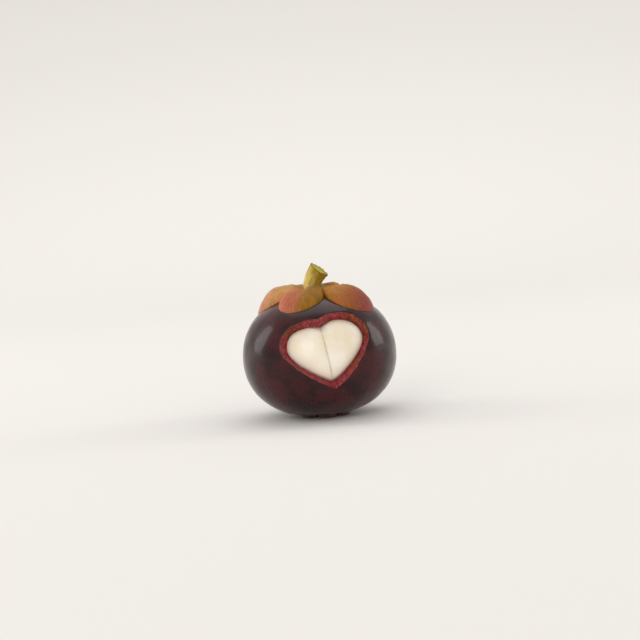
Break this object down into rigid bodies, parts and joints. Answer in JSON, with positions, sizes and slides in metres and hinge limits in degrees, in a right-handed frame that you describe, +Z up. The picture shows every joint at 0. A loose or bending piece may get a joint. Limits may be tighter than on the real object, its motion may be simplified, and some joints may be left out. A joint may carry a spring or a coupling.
{
  "type": "mangosteen with a heart-shaped window",
  "caption": "Whole mangosteen standing on its stigma rosette, with calyx and stem, its rind cut open in a heart-shaped window that shows the white segments.",
  "frame": {"origin": "on the surface the fruit stands on, under its upright axis", "axes": "+Z up towards the stem; -Y is the side with the heart-shaped window; +X to the right as seen from the window"},
  "size_m": [0.07, 0.0691, 0.0701],
  "materials": {
    "rind": "gloss",
    "flesh": "satin",
    "sepal": "satin",
    "stem": "matte",
    "stigma": "satin"
  },
  "bodies": {
    "root": {"rind": "rind", "stem": "stem", "stigma": "stigma", "aril_1": "flesh", "aril_2": "flesh", "aril_3": "flesh", "aril_4": "flesh", "aril_5": "flesh", "aril_6": "flesh", "sepal_front": "sepal", "sepal_right": "sepal", "sepal_back": "sepal", "sepal_left": "sepal"}
  },
  "joints": []
}
